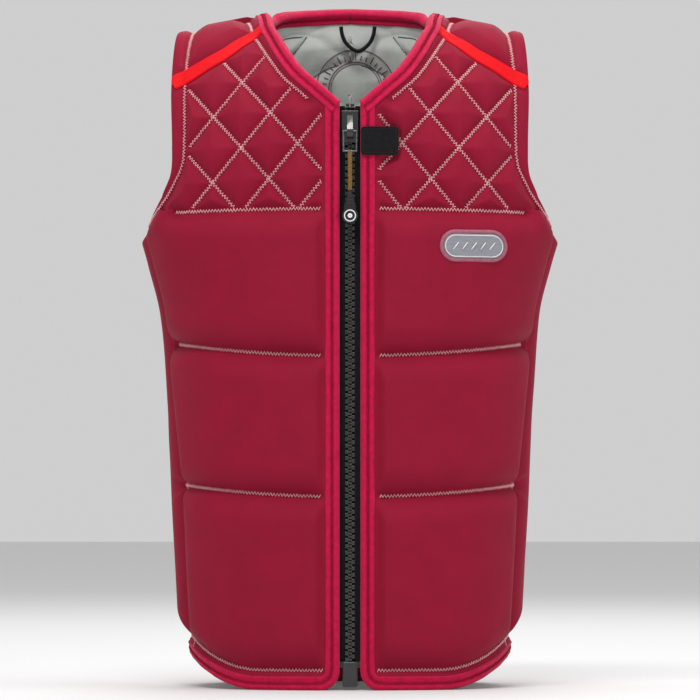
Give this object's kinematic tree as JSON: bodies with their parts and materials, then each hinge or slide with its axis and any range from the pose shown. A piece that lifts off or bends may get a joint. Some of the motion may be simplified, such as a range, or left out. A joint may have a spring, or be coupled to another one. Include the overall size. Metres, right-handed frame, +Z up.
{
  "type": "life jacket",
  "caption": "Padded neoprene buoyancy vest that opens down the front, with quilted yoke, sewn blocks, coarse zipper with hanging pull, keeper tab, chest badge and hang loop.",
  "frame": {"origin": "bottom centre of the vest's box, level with the hem it stands on", "axes": "+Z up from hem to neck, front faces -Y, +X is the wearer's left"},
  "size_m": [0.3572, 0.2381, 0.6027],
  "materials": {
    "neoprene": "matte",
    "foam": "matte",
    "liner": "matte",
    "binding": "matte",
    "red_tape": "satin",
    "zip_plastic": "satin",
    "zip_cloth": "matte",
    "cord": "matte",
    "rubber": "matte",
    "badge": "satin"
  },
  "bodies": {
    "back": {"back_shell": "neoprene", "back_liner": "liner", "back_foam_hip": "foam", "back_foam_waist": "foam", "back_foam_chest": "foam", "back_foam_upper": "foam", "neck_binding_back": "binding", "hem_binding_back": "binding", "side_gusset_left": "neoprene", "side_gusset_right": "neoprene", "shoulder_yoke_left": "neoprene", "shoulder_yoke_right": "neoprene"},
    "front_left": {"front_shell_left": "neoprene", "front_liner_left": "liner", "front_foam_hip_left": "foam", "front_foam_waist_left": "foam", "front_foam_chest_left": "foam", "front_foam_yoke_left": "foam", "zip_binding_left": "binding", "neck_binding_front_left": "binding", "hem_binding_front_left": "binding", "shoulder_tape_left": "red_tape", "zip_chain_left": "zip_plastic", "zip_tape_left": "zip_cloth", "zip_top_stop_left": "zip_plastic", "zip_insertion_pin": "zip_plastic", "badge_rim": "rubber", "badge_plate": "badge"},
    "front_right": {"front_shell_right": "neoprene", "front_liner_right": "liner", "front_foam_hip_right": "foam", "front_foam_waist_right": "foam", "front_foam_chest_right": "foam", "front_foam_yoke_right": "foam", "zip_binding_right": "binding", "neck_binding_front_right": "binding", "hem_binding_front_right": "binding", "shoulder_tape_right": "red_tape", "zip_chain_right": "zip_plastic", "zip_tape_right": "zip_cloth", "zip_top_stop_right": "zip_plastic", "zip_retainer_box": "zip_plastic"},
    "slider": {"slider_body": "zip_plastic", "slider_back_plate": "zip_plastic", "slider_crown": "zip_plastic"},
    "pull": {"pull_link": "zip_plastic", "pull_cord": "cord", "pull_grip": "rubber", "pull_medallion": "rubber"},
    "keeper_tab": {"keeper_tab": "rubber"},
    "hang_loop": {"hang_loop": "zip_cloth"}
  },
  "joints": [
    {"name": "front_left_open", "type": "hinge", "parent": "back", "child": "front_left", "pos_m": [0.138, -0.02, 0], "axis": [-0.0444, 0, 0.999], "range_deg": [0, 60], "deforming": ["side_gusset_left", "shoulder_yoke_left"]},
    {"name": "front_right_open", "type": "hinge", "parent": "back", "child": "front_right", "pos_m": [-0.138, -0.02, 0], "axis": [-0.0444, 0, -0.999], "range_deg": [0, 60], "deforming": ["side_gusset_right", "shoulder_yoke_right"]},
    {"name": "slider_travel", "type": "slide", "parent": "front_right", "child": "slider", "axis": [0, 0, -1], "range_m": [0, 0.45]},
    {"name": "pull_swing", "type": "hinge", "parent": "slider", "child": "pull", "pos_m": [0, -0.1137, 0.488], "axis": [-1, 0, 0], "range_deg": [0, 165]},
    {"name": "tab_flip", "type": "hinge", "parent": "front_left", "child": "keeper_tab", "pos_m": [0.0095, -0.1162, 0.4795], "axis": [0, 0, -1], "range_deg": [0, 95]},
    {"name": "loop_swing", "type": "hinge", "parent": "back", "child": "hang_loop", "pos_m": [0.007, 0.0611, 0.587], "axis": [-1, 0, 0], "range_deg": [0, 100]}
  ]
}
